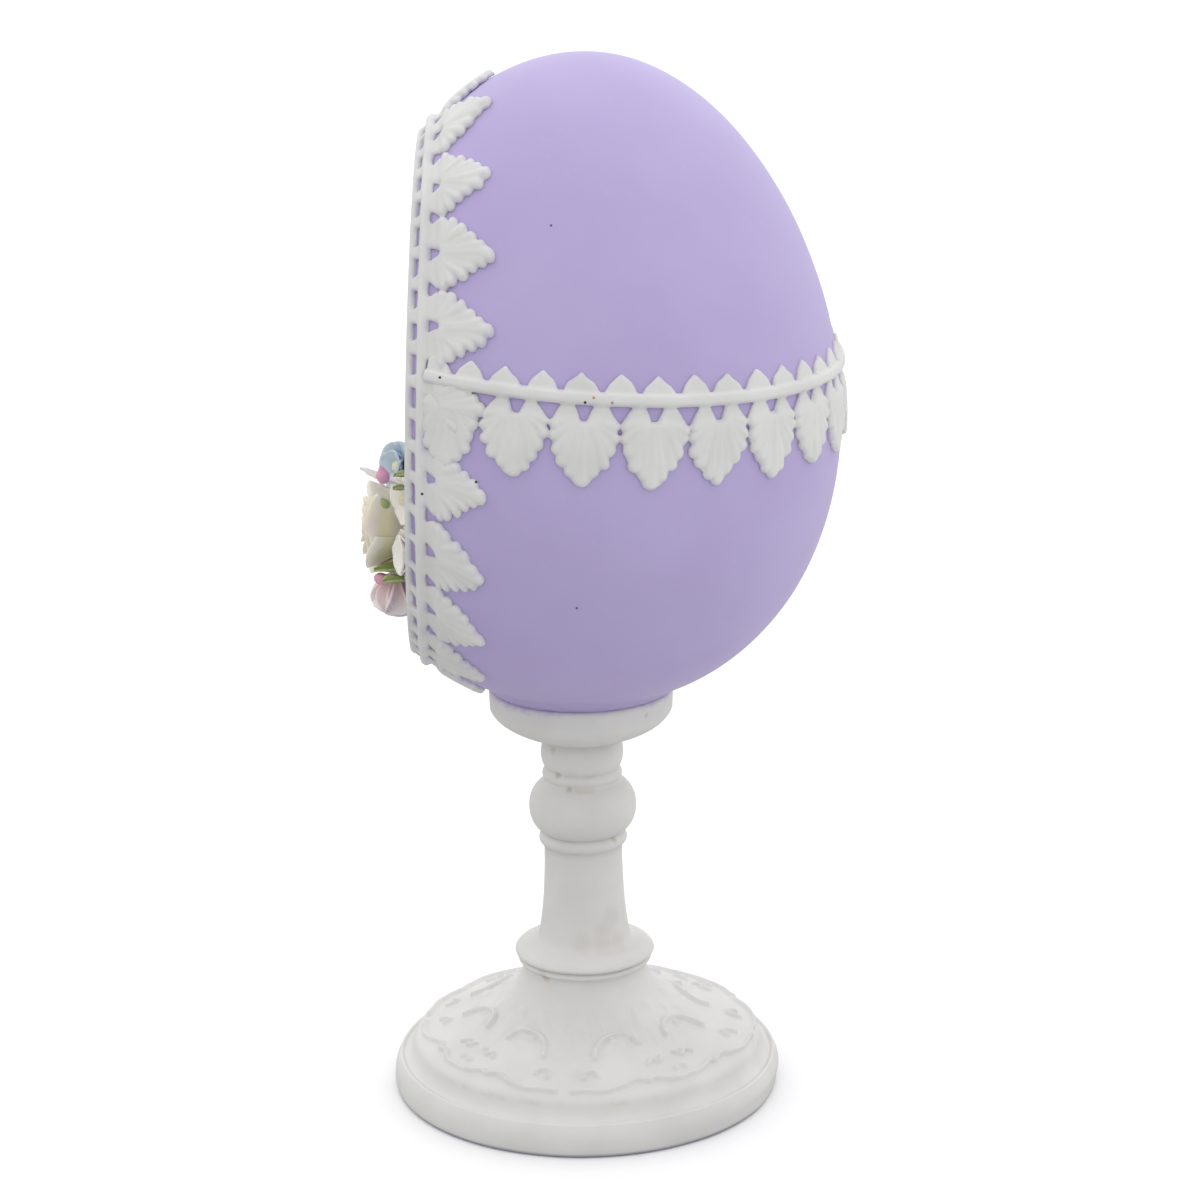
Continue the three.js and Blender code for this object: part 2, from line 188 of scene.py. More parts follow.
EGG_TURN = tilt(EGG_LEAN_BACK, EGG_LEAN_SIDE)
FACE_ACROSS = np.array([1, 0, 0])
FACE_UP = np.array([0, -math.sin(FRONT_TILT), math.cos(FRONT_TILT)])
FACE_OUT = np.cross(FACE_ACROSS, FACE_UP)
FACE_BASIS = np.stack([FACE_ACROSS, FACE_UP, FACE_OUT])


def place_egg(points):
    """From the egg's own frame to the part's."""
    return points @ EGG_TURN.T + EGG_CENTRE


def egg_radius(z):
    level = np.clip(z / EGG_HALF_LENGTH, -1, 1)
    return EGG_GIRTH_RADIUS * np.sqrt(1 - level * level) * (1 - EGG_SKEW * level)


def egg_slip(z):
    """How far back the middle of the egg's section is at a height."""
    return EGG_SLIP_MIDDLE - EGG_SLIP * z


def egg_normal(points):
    step = 0.01
    z = points[..., 2]
    slope = (egg_radius(z + step) - egg_radius(z - step)) / (2 * step)
    back = points[..., 1] - egg_slip(z)
    across = np.hypot(points[..., 0], back) + 1e-9
    rise = EGG_SLIP * back / across - slope
    normal = np.stack([points[..., 0] / across, back / across, rise], -1)
    return normal / np.linalg.norm(normal, axis=-1, keepdims=True)


def reach_surface(start, ray):
    """Where rays from inside the egg leave it."""
    inside = np.zeros(ray.shape[:-1])
    outside = inside + 2 * EGG_HALF_LENGTH
    for _ in range(36):
        middle = (inside + outside) / 2
        point = start + ray * middle[..., None]
        reach = np.hypot(point[..., 0], point[..., 1] - egg_slip(point[..., 2]))
        within = reach < egg_radius(point[..., 2])
        within &= np.abs(point[..., 2]) < EGG_HALF_LENGTH
        inside = np.where(within, middle, inside)
        outside = np.where(within, outside, middle)
    return start + ray * inside[..., None]


def oval_point(angle, depth):
    """A point of the egg at a depth in front of its axis, by its angle round the face."""
    angle, depth = np.broadcast_arrays(np.asarray(angle, float), depth)
    start = FRONT_OVAL_CENTRE * FACE_UP + depth[..., None] * FACE_OUT
    ray = np.cos(angle)[..., None] * FACE_ACROSS + np.sin(angle)[..., None] * FACE_UP
    return reach_surface(start, ray)


OVAL_ANGLES = -np.pi / 2 + np.linspace(0, 2 * np.pi, 1441)
OVAL_STEPS = np.linalg.norm(np.diff(oval_point(OVAL_ANGLES, FRONT_RIDGE_DEPTH), axis=0), axis=1)
OVAL_ARCS = np.concatenate([[0], np.cumsum(OVAL_STEPS)])
OVAL_LENGTH = OVAL_ARCS[-1]


def front_surface(arcs, backs):
    """Points of the egg by arc length round the front and distance back from its ridge."""
    angles = np.interp(arcs, OVAL_ARCS, OVAL_ANGLES)
    ridge_row = int(np.argmin(np.abs(backs)))
    rows = np.zeros((len(backs), len(arcs), 3))
    for direction in (1, -1):
        depth = np.full(len(arcs), float(FRONT_RIDGE_DEPTH))
        row = ridge_row
        rows[row] = oval_point(angles, depth)
        while 0 <= row + direction < len(backs):
            probe = oval_point(angles, depth - 0.05 * direction)
            travel = abs(backs[row + direction] - backs[row])
            depth -= direction * 0.05 / np.linalg.norm(probe - rows[row], axis=1) * travel
            row += direction
            rows[row] = oval_point(angles, depth)
    return rows


def belt_surface(turns, downs):
    """Points of the egg by turn from the back and distance below the belt's ridge."""
    heights = np.linspace(BELT_HEIGHT + 12, BELT_HEIGHT - 30, 400)
    radii = egg_radius(heights)
    arcs = np.concatenate([[0], np.cumsum(np.hypot(np.diff(heights), np.diff(radii)))])
    start = np.interp(-BELT_HEIGHT, -heights, arcs)
    z = np.interp(np.asarray(downs) + start, arcs, heights)
    radius = egg_radius(z)
    return np.stack([radius[:, None] * np.sin(turns),
                     radius[:, None] * np.cos(turns) + egg_slip(z)[:, None],
                     np.repeat(z[:, None], len(turns), 1)], -1)


# ---- Lace ----

LACE_GRID = 0.4
LEAF_BASE = 0.7
LEAF_RELIEF = 0.65
LACE_FOOT = -0.25
STRIP_HEIGHT = 0.95
TOOTH_HEIGHT = 0.85
BELT_LEAVES_EACH_WAY = 9

# The two kinds of leaf, for a leaf of the model's pitch and length: its lobes, as where each
# ends across and along, and its half width; its outline, as distances along it and half
# widths; and its holes at the ridge, as the width and depth of the one between two leaves
# and of the one in its middle.
LEAF_MODEL = (15.08, 18)
BELT_LEAF = ([(0, 16.3, 1.8), (2.2, 15.1, 1.4), (4.1, 13.0, 1.45), (5.4, 10.5, 1.4),
              (6.2, 7.9, 1.4), (6.3, 5.6, 1.35)],
             ([0, 4.4, 8, 10.8, 13, 15.3, 17.2, 18], [5.2, 7.1, 7.0, 6.3, 5.2, 3.5, 1.9, 0]),
             (5.7, 4.0, 4.3, 3.1))
FRONT_LEAF = ([(0, 16.8, 1.3), (1.6, 14.9, 1.15), (2.9, 12.5, 1.25), (4.2, 10.0, 1.3),
               (5.3, 7.5, 1.4), (6.2, 5.1, 1.4)],
              ([0, 3.6, 7, 10, 13, 15.3, 17.2, 18], [6.2, 7.3, 6.0, 4.6, 3.1, 2.0, 1.0, 0]),
              (3.6, 3.1, 2.9, 2.7))

# How far a front leaf's tip lies towards the bottom, by its arc up from the bottom.
TIP_LEAN = ([0, 18, 34, 50, 66, 82, 98, 114, 130, 146, 162, 175],
            [0, 2.4, 2.8, 3.4, 4.0, 2.5, 1.0, 2.8, 4.0, 4.0, 0.6, 0])


def capsule(x, y, start, end, radius_start, radius_end):
    """Signed distance inside a tapered bar, and how near its axis a point is."""
    along = np.subtract(end, start)
    t = np.clip(((x - start[0]) * along[0] + (y - start[1]) * along[1]) / (along @ along), 0, 1)
    radius = radius_start + (radius_end - radius_start) * t
    away = np.hypot(x - start[0] - t * along[0], y - start[1] - t * along[1])
    return radius - away, away / radius


def wedge(x, y, width, top, bottom, narrow):
    """Signed distance inside a hole with its wide side at the ridge, narrowing outward."""
    lean = (width - narrow) / 2 / (bottom - top)
    side = (width / 2 - (y - top) * lean - np.abs(x)) / math.hypot(1, lean)
    return np.minimum(np.minimum(side, y - top), bottom - y)


def leaf_field(x, y, pitch, length, kind, dice):
    """A palmette leaf: signed distance inside it, and its height."""
    lobes, outline, (beside_width, beside_depth, middle_width, middle_depth) = kind
    sx, sy = pitch / LEAF_MODEL[0], length / LEAF_MODEL[1]
    x, y = x / sx, y / sy
    inside = 0.8 * (np.interp(y, *outline) - np.abs(x)) - 0.1
    height = np.zeros_like(x)
    for side in (-1, 1):
        for across, along, radius in lobes:
            if across == 0 and side == 1:
                continue
            end = (side * across + dice.normal() * 0.16, along + dice.normal() * 0.2)
            start = (side * (0.25 * across + 0.2), 3.4 + 0.12 * along)
            near, axis = capsule(x, y, start, end, 0.7, radius * dice.uniform(0.94, 1.06))
            inside = np.maximum(inside, near)
            height = np.maximum(height, np.sqrt(np.clip(1 - axis ** 2, 0, 1)))
    beside = pitch / sx / 2 - np.abs(x)
    beside_hole = wedge(beside, y, beside_width * dice.uniform(0.85, 1.1), 1.35,
                        1.35 + beside_depth * dice.uniform(0.85, 1.1), 0.2)
    inside = np.minimum(inside, -beside_hole)
    middle_hole = wedge(x + dice.normal() * 0.2, y, middle_width * dice.uniform(0.85, 1.1), 1.35,
                        1.35 + middle_depth * dice.uniform(0.85, 1.1), 0.3 * middle_width)
    inside = np.minimum(inside, -middle_hole)
    fan = np.cos(18 * np.arctan2(x, y + 1) + dice.uniform(-1, 1))
    relief = LEAF_RELIEF * height * smoothstep(2, 6, y) + 0.1 * fan * smoothstep(4, 9, y)
    return inside * min(sx, sy), LEAF_BASE + relief


def rounded(inside, height, width=0.7):
    """Lets a relief fall away towards its edge."""
    edge = np.clip(inside / width, 0, 1)
    return height * (0.45 + 0.55 * np.sqrt(1 - (1 - edge) ** 2))


def bar(offset, half_width, low, high):
    """A raised round bar: signed distance inside it, and its height."""
    inside = half_width - np.abs(offset)
    crest = np.clip(1 - np.abs(offset / half_width) ** 3, 0, 1) ** 0.6
    return inside, low + (high - low) * crest


def add(field, near, inside, level):
    """Adds a form, over the points near it, to a field of signed distance and height."""
    field[0][near] = np.maximum(field[0][near], inside)
    field[1][near] = np.maximum(field[1][near], np.where(inside > 0, level, 0))


def front_field(arc, back):
    """The front lace over (arc, back): ridge, rim, the strip between them, and leaves."""
    bend = np.stack([arc, back], -1)
    arc = arc + 0.3 * ripple(bend, 14, 3) + 0.12 * ripple(bend, 4, 5)
    back_bent = back + 0.2 * ripple(bend, 17, 7) + 0.1 * ripple(bend, 4, 8)
    inside, height = bar(back, FRONT_RIDGE_WIDTH / 2, 1.0, 1.85)
    rim, rim_height = bar(back + STRIP_WIDTH, RIM_WIDTH / 2, 0.6, 1.2)
    inside = np.maximum(inside, rim)
    height = np.maximum(np.where(inside > 0, height, 0), np.where(rim > 0, rim_height, 0))

    pitch = OVAL_LENGTH / FRONT_GAP_COUNT
    along = (arc + pitch / 2) % pitch - pitch / 2
    from_rim = back_bent + STRIP_WIDTH - RIM_WIDTH / 2 + 0.1
    gap_size = 1 + 0.2 * ripple(np.stack([arc, 0 * arc], -1), 16, 9)
    slant = np.where(arc < OVAL_LENGTH / 2, 0.6, -0.6) * smoothstep(120, 60, arc)
    gap = 1 - np.hypot((along + slant * (from_rim - 1)) / (2.4 * gap_size),
                       from_rim / (2.5 * gap_size))
    gap = np.minimum(2.4 * gap, from_rim)
    field = inside, height
    add(field, ..., np.minimum(np.minimum(-back, back + STRIP_WIDTH), -gap), STRIP_HEIGHT)

    pitch = OVAL_LENGTH / FRONT_LEAF_COUNT
    for i in range(FRONT_LEAF_COUNT):
        dice = np.random.default_rng(100 + i)
        middle = (FRONT_LEAF_START + i * pitch) % OVAL_LENGTH
        up_arc = min(middle, OVAL_LENGTH - middle)
        lean = np.interp(up_arc, *TIP_LEAN) * (1 if middle < OVAL_LENGTH / 2 else -1)
        across = (arc - middle + OVAL_LENGTH / 2) % OVAL_LENGTH - OVAL_LENGTH / 2
        across = across + lean * np.clip(back / FRONT_LEAF_LENGTH, 0, 1.2)
        near = (np.abs(across) < pitch * 0.8) & (back > 0)
        length = FRONT_LEAF_LENGTH * (0.92 if up_arc < 100 else 1) * dice.uniform(0.96, 1.04)
        add(field, near, *leaf_field(across[near], back_bent[near], pitch, length,
                                     FRONT_LEAF, dice))
    return field


def tooth_field(x, up):
    """The small teeth above the belt's ridge."""
    half = EGG_GIRTH_RADIUS * BELT_TOOTH_PITCH / 2
    ridge_edge, top_half = BELT_RIDGE_WIDTH / 2 + 0.2, 0.45
    slope = (half - top_half) / (BELT_TOOTH_LENGTH - ridge_edge)
    side = (half - (up - ridge_edge) * slope - np.abs(x)) / math.hypot(1, slope)
    return np.minimum(side, BELT_TOOTH_LENGTH + 0.3 - up - 0.3 * x ** 2)


def belt_field(arc, down):
    """The belt lace over (arc, down): ridge, teeth above it and leaves below it."""
    bend = np.stack([arc, down], -1)
    arc_bent = arc + 0.3 * ripple(bend, 15, 13) + 0.12 * ripple(bend, 4, 15)
    down_bent = down + 0.25 * ripple(bend, 18, 17) + 0.1 * ripple(bend, 4, 18)
    inside, height = bar(down, BELT_RIDGE_WIDTH / 2, 1.0, 1.8)
    height = np.where(inside > 0, height, 0)

    pitch = EGG_GIRTH_RADIUS * BELT_TOOTH_PITCH
    offset = EGG_GIRTH_RADIUS * BELT_TOOTH_OFFSET
    along = (arc_bent - offset + pitch / 2) % pitch - pitch / 2
    field = inside, height
    add(field, ..., np.minimum(tooth_field(along, -down_bent), -down), TOOTH_HEIGHT)

    pitch = EGG_GIRTH_RADIUS * BELT_LEAF_PITCH
    offset = EGG_GIRTH_RADIUS * BELT_LEAF_OFFSET
    for i in range(-BELT_LEAVES_EACH_WAY, BELT_LEAVES_EACH_WAY + 1):
        dice = np.random.default_rng(200 + i)
        across = arc_bent - offset - i * pitch
        near = (np.abs(across) < pitch * 0.8) & (down > 0)
        length = BELT_LEAF_LENGTH * dice.uniform(0.96, 1.03)
        add(field, near, *leaf_field(across[near], down_bent[near], pitch, length,
                                     BELT_LEAF, dice))
    return field


def contour(inside, wrap):
    """Polygons over the part of a grid where a field is above zero. Returns the points as
    (row, column) in grid units, the polygons, and the pieces of border."""
    rows, columns = inside.shape
    within = inside > 0
    number = np.full(inside.shape, -1)
    number[within] = np.arange(within.sum())
    places = [np.argwhere(within).astype(float)]
    count = int(within.sum())

    def crossings(first, second, base, step):
        nonlocal count
        cut = (first > 0) != (second > 0)
        ids = np.full(cut.shape, -1)
        ids[cut] = count + np.arange(cut.sum())
        count += int(cut.sum())
        part = first[cut] / (first[cut] - second[cut])
        places.append(base[cut] + part[:, None] * step)
        return ids

    where = np.stack(np.meshgrid(range(rows), range(columns), indexing="ij"), -1).astype(float)
    after = np.roll(inside, -1, 1)
    level = crossings(inside, after, where, np.array([0, 1]))
    upright = crossings(inside[:-1], inside[1:], where[:-1], np.array([1, 0]))
    shift = np.roll(number, -1, 1)
    upright_after = np.roll(upright, -1, 1)
    ring = [number[:-1], level[:-1], shift[:-1], upright_after, shift[1:], level[1:],
            number[1:], upright]
    if not wrap:
        ring = [item[:, :-1] for item in ring]
    ring = np.stack([item.ravel() for item in ring], 1)
    ring = ring[(ring >= 0).any(1)]
    polygons, border = [], []
    kinds = (ring >= 0) @ (1 << np.arange(8))
    for kind in np.unique(kinds):
        kept = [i for i in range(8) if kind >> i & 1]
        cells = ring[kinds == kind][:, kept]
        if len(kept) < 3:
            continue
        polygons += cells.tolist()
        for i, item in enumerate(kept):
            following = kept[(i + 1) % len(kept)]
            if item % 2 and following % 2:
                border += cells[:, [i, (i + 1) % len(kept)]].tolist()
    return np.vstack(places), polygons, border


def lace_piece(name, surface, inside, height, foot, lift, wrap, material):
    """Raises the lace over the egg's surface, and closes it underneath. Lift is how far
    it stands clear of the egg."""
    normals = egg_normal(surface)
    world = place_egg(surface)
    from_cup = np.hypot(world[..., 0], world[..., 1]) - CUP_RADIUS - 0.1
    inside = np.where(world[..., 2] < CUP_TOP + 4, np.minimum(inside, from_cup), inside)
    if not wrap:
        inside[:, 0] = inside[:, -1] = -1
    inside[0] = inside[-1] = -1
    height = rounded(inside, height)
    places, polygons, border = contour(inside, wrap)
    rows, columns = inside.shape

    def sample(values):
        low = np.floor(places).astype(int)
        part = places - low
        high = np.minimum(low[:, 0] + 1, rows - 1), (low[:, 1] + 1) % columns
        shape = (-1,) + (1,) * (values.ndim - 2)
        u, v = part[:, 0].reshape(shape), part[:, 1].reshape(shape)
        return ((values[low[:, 0], low[:, 1]] * (1 - u) + values[high[0], low[:, 1]] * u) * (1 - v)
                + values[low[:, 0], high[1]] * v)

    normal = sample(normals)
    points = sample(surface) + normal * sample(lift)[:, None]
    filled = np.maximum(height, 0.4)
    for _ in range(2):
        spread = np.maximum(np.roll(filled, 1, 1), np.roll(filled, -1, 1))
        filled = np.where(inside > 0, filled, 0.5 * spread)
    top = points + normal * sample(filled)[:, None]
    bottom = points + normal * sample(foot)[:, None]
    total = len(points)
    faces = polygons + [[total + i for i in reversed(polygon)] for polygon in polygons]
    faces += [[b, a, a + total, b + total] for a, b in border]
    # Nearness to the lace's edge, where it falls away: tinted lilac there, partly as thin icing and
    # partly as painted shade.
    low = 1 - np.clip(sample(np.minimum(inside, 3)) / 1.6, 0, 1)
    first = polygons[0]
    turn = np.cross(top[first[1]] - top[first[0]], top[first[2]] - top[first[1]])
    if turn @ normal[first[0]] < 0:
        faces = [face[::-1] for face in faces]
    build(name, place_egg(np.vstack([top, bottom])), faces, "lace", material,
          {"edge": np.concatenate([low, low])})


def front_lace(material):
    columns = int(OVAL_LENGTH / LACE_GRID)
    arcs = OVAL_LENGTH * np.arange(columns) / columns
    backs = np.arange(-STRIP_WIDTH - RIM_WIDTH, FRONT_LEAF_LENGTH + 2.5, LACE_GRID)
    surface = front_surface(arcs, backs)
    arc, back = np.meshgrid(arcs, backs)
    inside, height = front_field(arc, back)
    foot = LACE_FOOT - 1.2 * smoothstep(STRIP_WIDTH - 1.2, STRIP_WIDTH, -back)
    crown = np.exp(-((arc - OVAL_LENGTH / 2) / 17) ** 2) * smoothstep(3, 13, back)
    lace_piece("front_lace", surface, inside, height, foot, 0.35 * crown, True, material)


def belt_lace(material):
    girth = egg_radius(BELT_HEIGHT)
    reach = math.acos(-(FRONT_RIDGE_DEPTH + egg_slip(BELT_HEIGHT)) / girth)
    turns = np.linspace(-reach, reach, int(2 * reach * girth / LACE_GRID))
    downs = np.arange(-BELT_TOOTH_LENGTH - 1.5, BELT_LEAF_LENGTH + 2.5, LACE_GRID)
    surface = belt_surface(turns, downs)
    arc, down = np.meshgrid(turns * EGG_GIRTH_RADIUS, downs)
    inside, height = belt_field(arc, down)
    depth = surface @ FACE_OUT
    inside = np.minimum(inside, FRONT_RIDGE_DEPTH - depth)
    foot = np.full(arc.shape, LACE_FOOT)
    lace_piece("belt_lace", surface, inside, height, foot, 0 * arc, False, material)


# ---- Egg ----

def egg(material):
    """The egg, cut flat in front, and drawn down on to the cup."""
    around, face_rings, back_rings = 256, 26, 150
    angles = 2 * np.pi * np.arange(around) / around
    edge = oval_point(angles, FRONT_DEPTH)
    centre = FRONT_OVAL_CENTRE * FACE_UP + FRONT_DEPTH * FACE_OUT
    rows = [centre + (edge - centre) * part
            for part in np.linspace(0, 1, face_rings + 1)[1:]]
    core = FRONT_OVAL_CENTRE * FACE_UP
    edge_ray = (edge - core) / np.linalg.norm(edge - core, axis=1, keepdims=True)
    edge_turn = np.arccos(edge_ray @ FACE_OUT)
    for i in range(1, back_rings + 1):
        turn = edge_turn + (np.pi - edge_turn) * i / (back_rings + 1)
        outward = np.cos(angles)[:, None] * FACE_ACROSS + np.sin(angles)[:, None] * FACE_UP
        ray = np.cos(turn)[:, None] * FACE_OUT + np.sin(turn)[:, None] * outward
        rows.append(reach_surface(core, ray))
    points, faces = closed(np.stack(rows), centre, reach_surface(core, -FACE_OUT[None])[0])
    points = points - egg_normal(points) * 0.05 * (1 + ripple(points, 22, 31))[:, None]
    points = place_egg(points)
    reach = np.hypot(points[:, 0], points[:, 1])
    pull = 1 - smoothstep(CUP_RADIUS - 1.2, CUP_RADIUS + 1.6, reach)
    low = points[:, 2] < CUP_TOP + 12
    drawn = np.minimum(points[:, 2], CUP_TOP - 0.3)
    points[:, 2] = np.where(low, points[:, 2] + (drawn - points[:, 2]) * pull, points[:, 2])
    build("egg_body", points, faces, "egg", material)


# ---- Pedestal ----

def bezier(points, steps):
    """Points of a curve with any number of handles, without its first point."""
    t = np.linspace(0, 1, steps + 1)[1:, None]
    rows = [np.asarray(point, float) + 0 * t for point in points]
    while len(rows) > 1:
        rows = [a + (b - a) * t for a, b in zip(rows, rows[1:])]
    return rows[0]


def bead(low, high, neck, crest, steps, neck_above=None):
    """A round moulding between two heights."""
    above = neck if neck_above is None else neck_above
    pull = (4 * (crest - (neck + above) / 2)) / 3
    rise = (high - low) / 6
    return bezier([(neck, low), (neck + pull, low + rise), (above + pull, high - rise),
                   (above, high)], steps)


def chain(*runs):
    return np.vstack([np.asarray(run, float) for run in runs])


def foot_profile():
    """Radius and height of the foot and its dome, from the underside to the collar."""
    foot, step, neck, top = FOOT_RADIUS, DOME_RADIUS + 1.5, DOME_TOP_RADIUS, DOME_TOP
    return chain(
        [(0, 0), (foot - 8, 0), (foot - 1.2, 0)],
        bezier([(foot - 1.2, 0), (foot - 0.2, 0.1), (foot, 1.2)], 4),
        bezier([(foot, 1.2), (foot + 0.2, 4.5), (foot - 0.5, 6.2), (foot - 1, 7.1)], 10),
        bezier([(foot - 1, 7.1), (foot - 1.2, 7.9), (foot - 1.8, 7.9), (foot - 2.2, 7.4)], 6),
        bezier([(foot - 2.2, 7.4), (step + 0.7, 7.9), (step, 10.8)], 8),
        bezier([(step, 10.8), (step - 0.3, 12), (DOME_RADIUS, DOME_START)], 5),
        bezier([(DOME_RADIUS, DOME_START), (DOME_RADIUS - 13.8, DOME_START + 5.4),
                (neck + 0.4, top - 8.6), (neck, top - 0.5)], 110),
        bezier([(neck, top - 0.5), (neck + 0.4, top + 0.2), (neck - 0.7, top + 0.6)], 5),
        [(0, top + 0.6)])


def stem_profile():
    """Radius and height from inside the collar to the cup's top."""
    neck, base, cup = DOME_TOP_RADIUS, DOME_TOP, CUP_RADIUS
    return chain(
        [(0, base - 0.5), (neck - 2, base - 0.5), (neck - 0.6, base + 0.2)],
        bezier([(neck - 0.6, base + 0.2), (neck + 1.8, base - 0.3), (neck + 1.7, base + 1.6),
                (neck + 0.4, base + 1.7)], 8),
        bead(base + 1.8, COLLAR_TOP, neck + 0.3, COLLAR_RADIUS + 0.2, 16,
             STEM_FOOT_RADIUS + 0.8),
        bezier([(STEM_FOOT_RADIUS - 0.2, COLLAR_TOP + 0.2),
                (STEM_NECK_RADIUS - 0.1, COLLAR_TOP + 8), (STEM_NECK_RADIUS, STEM_TOP)], 18),
        bead(STEM_TOP, LOWER_RING_TOP, STEM_NECK_RADIUS, 10.3, 8),
        bead(LOWER_RING_TOP, BALL_TOP, STEM_NECK_RADIUS, 12.5, 18),
        bead(BALL_TOP + 0.4, UPPER_RING_TOP, 8.3, 9.3, 8),
        bead(UPPER_RING_TOP + 0.1, BEAD_TOP, 8.4, 9.6, 10),
        bezier([(8.7, BEAD_TOP + 0.1), (cup - 6, BEAD_TOP + 1.9),
                (cup - 0.9, CUP_SIDE_START - 3), (cup, CUP_SIDE_START)], 16),
        bezier([(cup, CUP_SIDE_START), (cup + 0.1, CUP_TOP - 1)], 8),
        bezier([(cup + 0.1, CUP_TOP - 1), (cup, CUP_TOP), (cup - 1, CUP_TOP)], 4),
        [(cup - 4, CUP_TOP - 0.2), (0, CUP_TOP - 0.2)])


# The dome swells a little on one side, by this much low down and at its shoulder.
SWELL_WAY = 95                       # degrees from +X
LOW_SWELL = 0.8
SHOULDER_SWELL = 1.6
SHOULDER_HEIGHT = 14

# Scrolls on the dome, as the strokes of one panel, mirrored about its middle: the points of
# each, as degrees from the middle and a radius, then its half width. A boss is degrees from
# the middle, a radius and its size.
PANEL_MIDDLE = -8
PANEL_COUNT = 4
LINE_STEPS = 6
PANEL_STROKES = [
    ([(12, 28.6), (13, 26), (17, 23.8), (23, 22.8), (29, 22.8), (34, 24), (36, 25.8)], 0.7),
    ([(34, 32), (36.5, 30.8), (39, 31.8), (41.5, 30.6)], 0.55),
    ([(7, 34.4), (8, 32.6), (11, 32.2), (12.4, 33.6)], 0.55),
    ([(3, 38.2), (9, 38), (14, 38.2), (20, 37.2), (26, 35.7), (29, 36.1), (31, 36.6),
      (33, 36), (37, 36.9), (41, 37.6), (45, 37.4)], 0.65),
]
PANEL_BOSSES = [(22.5, 24.6, 1.1), (43, 34.6, 0.9)]

# Tan stains on the pedestal: a point on it, the stain's radius and its strength.
STAINS = [
    ((11.4, -9.3, 30.6), 1.6, 1), ((0.6, 15.2, 30.4), 1.5, 1), ((-16.6, -33.2, 14.6), 0.8, 0.9),
    ((6.4, -6.5, 84.2), 1.0, 0.7), ((6.5, -5.4, 78.5), 1.0, 0.8), ((6.5, 6.9, 62.4), 1.0, 0.7),
    ((3.9, -8.5, 58.6), 0.9, 0.6), ((7.6, 6.6, 43.5), 3, 0.25), ((8.9, 4.5, 40.5), 3, 0.25),
    ((10.6, -0.5, 38), 3, 0.25), ((10, 4.5, 37.5), 3.2, 0.25), ((8.2, 7.8, 37.5), 3, 0.25),
    ((18.9, -8.3, 93.0), 0.7, 1), ((15.2, 14.6, 95.4), 0.7, 0.8), ((8.4, -3.1, 75.4), 0.6, 0.8),
    ((26, -16, 21.5), 2.6, 0.3), ((33.5, -2, 16), 2.4, 0.22), ((30, 15, 17.5), 1.8, 0.2),
]


def smooth_line(points):
    """A smooth curve through points."""
    points = np.asarray(points, float)
    padded = np.vstack([2 * points[0] - points[1], points, 2 * points[-1] - points[-2]])
    line = []
    for a, b, c, d in zip(padded, padded[1:], padded[2:], padded[3:]):
        for t in np.arange(LINE_STEPS) / LINE_STEPS:
            line.append(b + 0.5 * t * (c - a + t * (2 * a - 5 * b + 4 * c - d
                                                    + t * (3 * (b - c) + d - a))))
    return np.array(line + [points[-1]])


def dome_relief(angle, radius):
    """Height of the scrolls over the dome, by angle in degrees from +X and radius."""
    height = np.zeros(angle.shape)
    pitch = 360 / PANEL_COUNT
    local = np.abs((angle - PANEL_MIDDLE + pitch / 2) % pitch - pitch / 2)
    for stroke, half in PANEL_STROKES:
        line = smooth_line(stroke)
        for (a0, r0), (a1, r1) in zip(line, line[1:]):
            middle = (r0 + r1) / 2
            start = (np.radians(a0) * middle, r0)
            end = (np.radians(a1) * middle, r1)
            x = np.radians(local) * middle
            rise = 1 - np.clip(capsule(x, radius, start, end, half, half)[1], 0, 1) ** 2
            height = np.maximum(height, half * 1.5 * rise)
    for turn, reach, size in PANEL_BOSSES:
        away = np.hypot(np.radians(local - turn) * reach, radius - reach) / size
        height = np.maximum(height, 0.8 * np.clip(1 - away ** 2, 0, 1))
    worn = np.stack([radius * np.cos(np.radians(angle)), radius * np.sin(np.radians(angle))], -1)
    band = smoothstep(16, 19, radius) * smoothstep(30, 25, radius)
    return np.maximum(height, 0.4 * band * np.clip(ripple(worn, 4, 81), 0, 1))


def cast_piece(name, points, faces, material):
    """A part of the pedestal, slightly uneven, with its stains, and a painted shadow along the
    foot's bottom edge, as attributes.
    """
    reach = np.hypot(points[:, 0], points[:, 1])
    wobble = 0.07 * ripple(points, 16, 51) * (points[:, 2] > 0.5) * smoothstep(3, 8, reach)
    points[:, :2] *= (1 + wobble / np.maximum(reach, 1))[:, None]
    recess = np.zeros(len(points))
    for z, spread in ((STEM_TOP, 0.8), (LOWER_RING_TOP, 0.8), (BALL_TOP, 0.8),
                      (UPPER_RING_TOP, 0.7), (BEAD_TOP, 0.9), (DOME_START - 1.6, 0.8)):
        recess = np.maximum(recess, 0.8 * np.exp(-((points[:, 2] - z) / spread) ** 2))
    stain = np.zeros(len(points))
    for place, radius, strength in STAINS:
        away = np.linalg.norm(points - np.asarray(place), axis=1) / radius
        away = away + 0.25 / radius * ripple(points, 2.5, 61)
        stain = np.maximum(stain, strength * smoothstep(1.2, 0.3, away))
    spill = points[:, 2] - CUP_TOP + 0.9 + 0.8 * ripple(points, 9, 71) + 0.4 * ripple(points, 3, 72)
    # Painted shadow: a dark line along the bottom edge of the foot, where it meets the floor.
    painted_bottom_shadow = smoothstep(1.1, 0.5, points[:, 2]) * smoothstep(FOOT_RADIUS - 2, FOOT_RADIUS - 1, reach)
    build(name, points, faces, "pedestal", material,
          {"recess": recess, "stain": stain, "spill": smoothstep(-0.3, 0.8, spill),
           "painted_bottom_shadow": painted_bottom_shadow})


